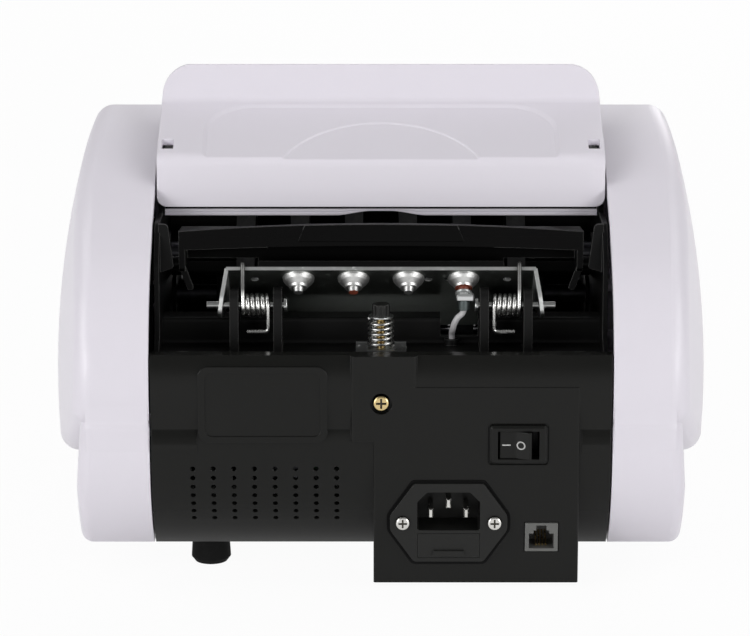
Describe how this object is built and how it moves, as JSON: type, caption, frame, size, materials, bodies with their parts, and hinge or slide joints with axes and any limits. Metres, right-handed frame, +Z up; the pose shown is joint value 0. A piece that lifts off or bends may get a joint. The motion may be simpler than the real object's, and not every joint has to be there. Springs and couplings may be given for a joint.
{
  "type": "banknote counting machine",
  "caption": "Table-top banknote counter with domed white side covers, a hopper, bladed stacker wheels and an open rear gap showing the sprung friction bracket above a black power box.",
  "frame": {"origin": "centre of the bounding box at the underside of the feet", "axes": "+Z up, +Y towards the operator, -Y towards the rear with the power box, +X to the right when seen from the rear"},
  "size_m": [0.269, 0.2484, 0.1935],
  "materials": {
    "white_plastic": "satin, fine grain",
    "black_plastic": "moulded, half gloss",
    "zinc_steel": "bright zinc plated",
    "yellow_steel": "yellow passivated zinc",
    "wheel_rubber": "matt grey",
    "foot_rubber": "matt black",
    "belt_rubber": "matt black",
    "wheel_plastic": "matt",
    "white_lead": "smooth",
    "display_plastic": "polished smoke",
    "key_plastic": "satin",
    "board": "satin",
    "motor_steel": "zinc grey",
    "black_metal": "satin black",
    "dark_steel": "black oxide",
    "grey_plastic": "satin",
    "core_iron": "varnished"
  },
  "bodies": {
    "body": {"base_plate": "zinc_steel", "feet": "foot_rubber", "side_cover_left": "white_plastic", "side_cover_right": "white_plastic", "side_frame_left": "black_metal", "side_frame_right": "black_metal", "rear_cover": "black_plastic", "rear_cover_screw": "yellow_steel", "hopper_pins": "zinc_steel", "hopper_gate": "white_plastic", "hopper_tray": "white_plastic", "pivot_pins": "zinc_steel", "torsion_spring_left": "zinc_steel", "torsion_spring_right": "zinc_steel", "mechanism_floor": "black_plastic", "seat_clip": "zinc_steel", "adjuster_screw": "yellow_steel", "adjuster_spring": "zinc_steel", "ground_lead": "white_lead", "mains_inlet": "black_plastic", "inlet_pins": "zinc_steel", "inlet_screws": "zinc_steel", "switch_frame": "black_plastic", "display_jack": "grey_plastic", "jack_contacts": "yellow_steel", "front_panel": "white_plastic", "display_window": "display_plastic", "stacker_plate": "black_plastic", "shaft_bushes": "black_plastic", "motor": "motor_steel", "drive_belt": "belt_rubber", "count_belt": "belt_rubber", "main_board": "board", "transformer": "core_iron", "note_guide": "black_plastic"},
    "hopper": {"hopper_plate": "white_plastic"},
    "guide_left": {"hopper_guide_left": "white_plastic"},
    "guide_right": {"hopper_guide_right": "white_plastic"},
    "feed": {"feed_shaft": "dark_steel", "feed_wheels": "wheel_rubber", "feed_pulley": "wheel_plastic"},
    "count": {"count_shaft": "dark_steel", "count_sleeves": "wheel_rubber", "count_pulley": "wheel_plastic"},
    "stacker": {"stacker_shaft": "dark_steel", "stacker_wheels": "wheel_plastic", "stacker_pulley": "wheel_plastic"},
    "rotor": {"motor_rotor": "wheel_plastic"},
    "bracket": {"friction_bracket": "zinc_steel", "friction_pads": "wheel_rubber", "bracket_screws": "zinc_steel", "ground_terminal": "zinc_steel"},
    "bar": {"guide_bar": "black_plastic"},
    "washer": {"adjuster_washer": "zinc_steel"},
    "knob": {"adjuster_knob": "black_plastic"},
    "rocker": {"switch_rocker": "black_plastic"},
    "drawer": {"fuse_drawer": "black_plastic"},
    "key_1": {"key_1": "key_plastic"},
    "key_2": {"key_2": "key_plastic"},
    "key_3": {"key_3": "key_plastic"}
  },
  "joints": [
    {"name": "feed_spin", "type": "hinge", "parent": "body", "child": "feed", "pos_m": [0, -0.038, 0.118], "axis": [1, 0, 0], "continuous": true},
    {"name": "count_spin", "type": "hinge", "parent": "body", "child": "count", "pos_m": [0, -0.005, 0.092], "axis": [1, 0, 0], "continuous": true},
    {"name": "stacker_spin", "type": "hinge", "parent": "body", "child": "stacker", "pos_m": [0, 0.038, 0.062], "axis": [1, 0, 0], "continuous": true},
    {"name": "motor_spin", "type": "hinge", "parent": "body", "child": "rotor", "pos_m": [0, -0.055, 0.042], "axis": [1, 0, 0], "continuous": true},
    {"name": "bracket_swing", "type": "hinge", "parent": "body", "child": "bracket", "pos_m": [0, -0.085, 0.1066], "axis": [-1, 0, 0], "range_deg": [0, 6], "stiffness_Nm_per_rad": 0.12, "springref_deg": -28.65, "deforming": ["torsion_spring_left", "torsion_spring_right", "ground_lead"]},
    {"name": "guide_bar_swing", "type": "hinge", "parent": "body", "child": "bar", "pos_m": [0, -0.079, 0.1226], "axis": [1, 0, 0], "range_deg": [0, 20]},
    {"name": "hopper_tilt", "type": "hinge", "parent": "body", "child": "hopper", "pos_m": [0, -0.05, 0.154], "axis": [-1, 0, 0], "range_deg": [0, 18]},
    {"name": "guide_left_slide", "type": "slide", "parent": "body", "child": "guide_left", "axis": [1, 0, 0], "range_m": [0, 0.022]},
    {"name": "guide_right_slide", "type": "slide", "parent": "body", "child": "guide_right", "axis": [-1, 0, 0], "range_m": [0, 0.022]},
    {"name": "washer_slide", "type": "slide", "parent": "body", "child": "washer", "axis": [0, 0, -1], "range_m": [0, 0.0014], "deforming": ["adjuster_spring"]},
    {"name": "adjuster_turn", "type": "hinge", "parent": "washer", "child": "knob", "pos_m": [0, -0.088, 0.105], "axis": [0, 0, -1], "range_deg": [0, 720]},
    {"name": "switch_rock", "type": "hinge", "parent": "body", "child": "rocker", "pos_m": [0.0539, -0.1162, 0.059], "axis": [0, 0, 1], "range_deg": [0, 24]},
    {"name": "drawer_slide", "type": "slide", "parent": "body", "child": "drawer", "axis": [0, -1, 0], "range_m": [0, 0.018]},
    {"name": "key_1_press", "type": "slide", "parent": "body", "child": "key_1", "axis": [0, -0.8192, -0.5735], "range_m": [0, 0.0012], "stiffness_N_per_m": 250, "springref_m": -0.0004},
    {"name": "key_2_press", "type": "slide", "parent": "body", "child": "key_2", "axis": [0, -0.8192, -0.5735], "range_m": [0, 0.0012], "stiffness_N_per_m": 250, "springref_m": -0.0004},
    {"name": "key_3_press", "type": "slide", "parent": "body", "child": "key_3", "axis": [0, -0.8192, -0.5735], "range_m": [0, 0.0012], "stiffness_N_per_m": 250, "springref_m": -0.0004}
  ],
  "couplings": [
    {"joint": "count_spin", "follows": "feed_spin", "ratio": 1.1111},
    {"joint": "stacker_spin", "follows": "feed_spin", "ratio": 0.8},
    {"joint": "motor_spin", "follows": "feed_spin", "ratio": 1.5},
    {"joint": "adjuster_turn", "follows": "washer_slide", "rad_per_m": 8976}
  ]
}
